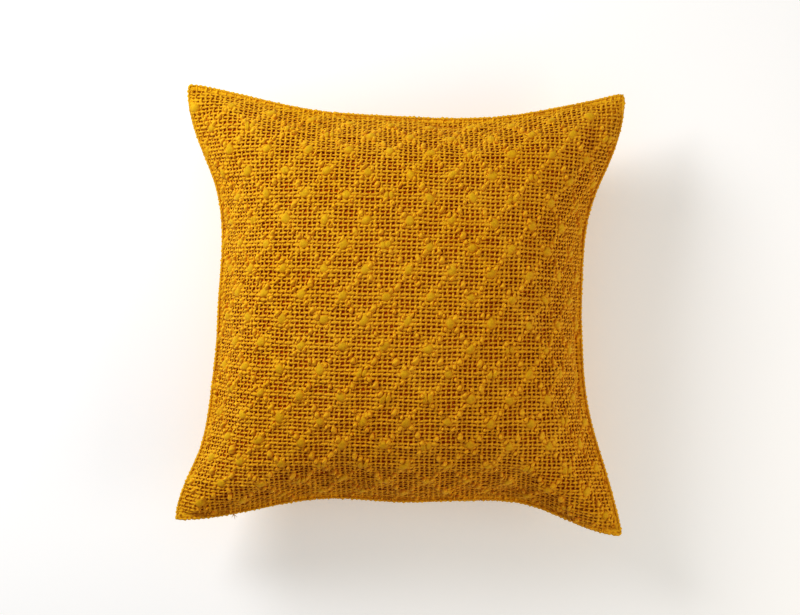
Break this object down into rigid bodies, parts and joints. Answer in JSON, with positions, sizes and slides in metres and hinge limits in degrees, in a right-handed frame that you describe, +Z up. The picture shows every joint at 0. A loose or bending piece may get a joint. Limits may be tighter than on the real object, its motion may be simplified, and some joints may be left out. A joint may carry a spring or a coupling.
{
  "type": "cotton cushion",
  "caption": "Square knife-edge scatter cushion in mustard openwork cotton, plumply filled, with drawn-in sides and pointed corners, lying on its back.",
  "frame": {"origin": "on the surface that the cushion rests on, under the middle of its box", "axes": "+Z up out of the face, the shortest way through the cushion; +Y towards the top edge of the face; +X to the right of the face"},
  "size_m": [0.4964, 0.4908, 0.1758],
  "materials": {
    "mustard_cotton": "matt openwork weave with small raised dots"
  },
  "bodies": {
    "root": {"cushion": "mustard_cotton"}
  },
  "joints": []
}
